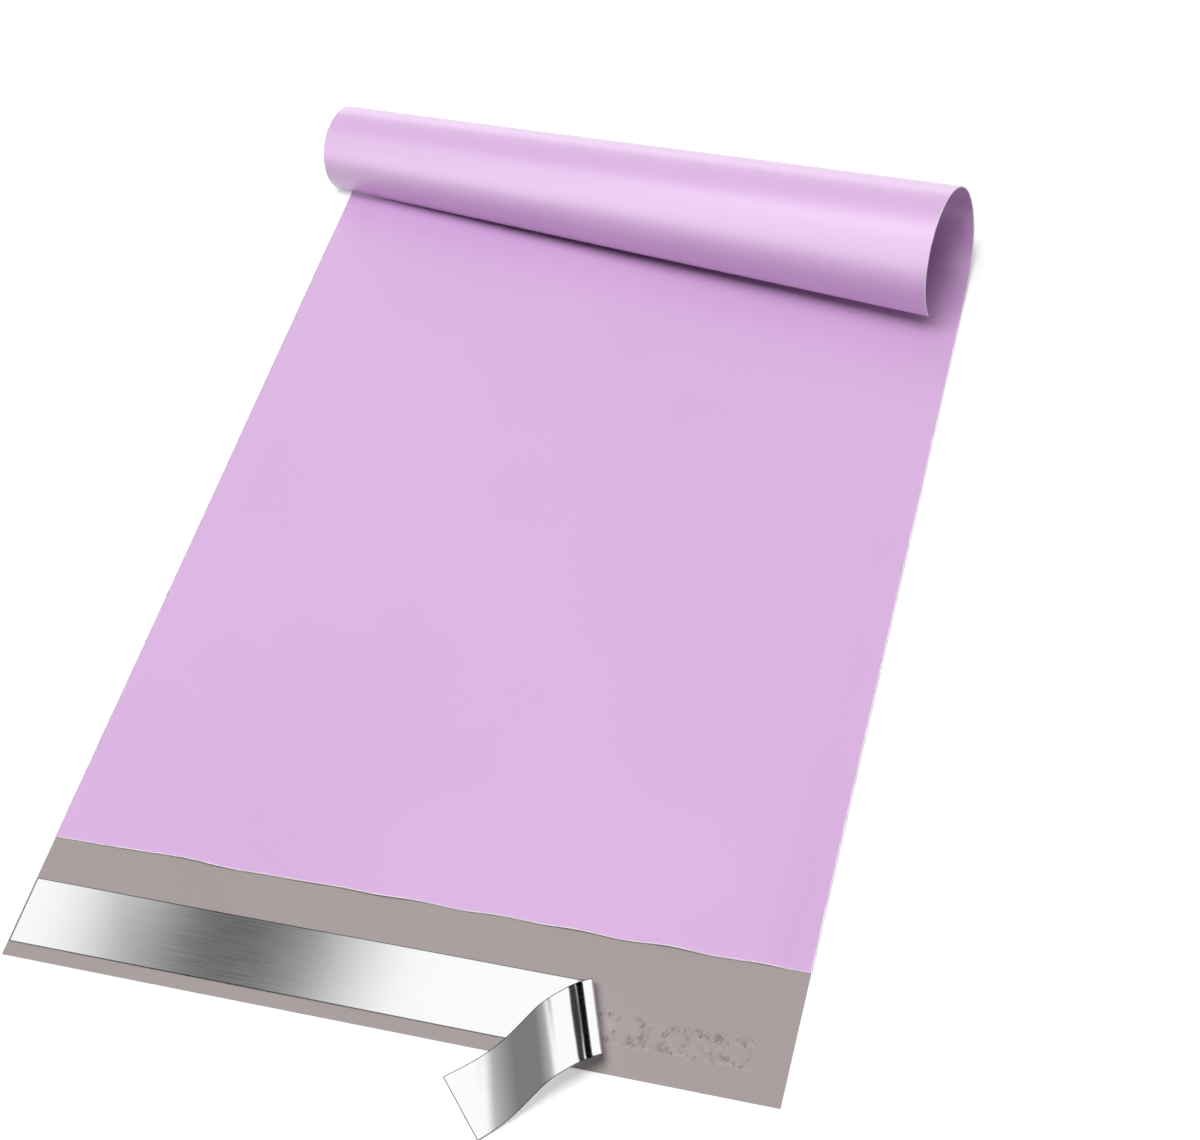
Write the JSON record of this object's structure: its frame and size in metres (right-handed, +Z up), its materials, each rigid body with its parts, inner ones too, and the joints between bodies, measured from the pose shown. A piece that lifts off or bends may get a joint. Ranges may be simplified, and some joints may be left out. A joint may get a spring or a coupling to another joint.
{
  "type": "poly mailer bag",
  "caption": "Open lilac film mailing bag lying flat, closed end curled forward, grey adhesive flap with its silvery release liner peeled part way.",
  "frame": {"origin": "on the underside of the back panel, in the plane of the table, at the middle of the mouth line", "axes": "+X across the bag to the right as seen from the flap, +Y from the mouth towards the closed end, +Z up"},
  "size_m": [0.2614, 0.4038, 0.0433],
  "materials": {
    "lilac_film": "satin",
    "hot_melt_adhesive": "satin",
    "silvered_release_film": "polished"
  },
  "bodies": {
    "root": {"mailer_film": "lilac_film", "adhesive_strip": "hot_melt_adhesive", "release_liner": "silvered_release_film"}
  },
  "joints": []
}
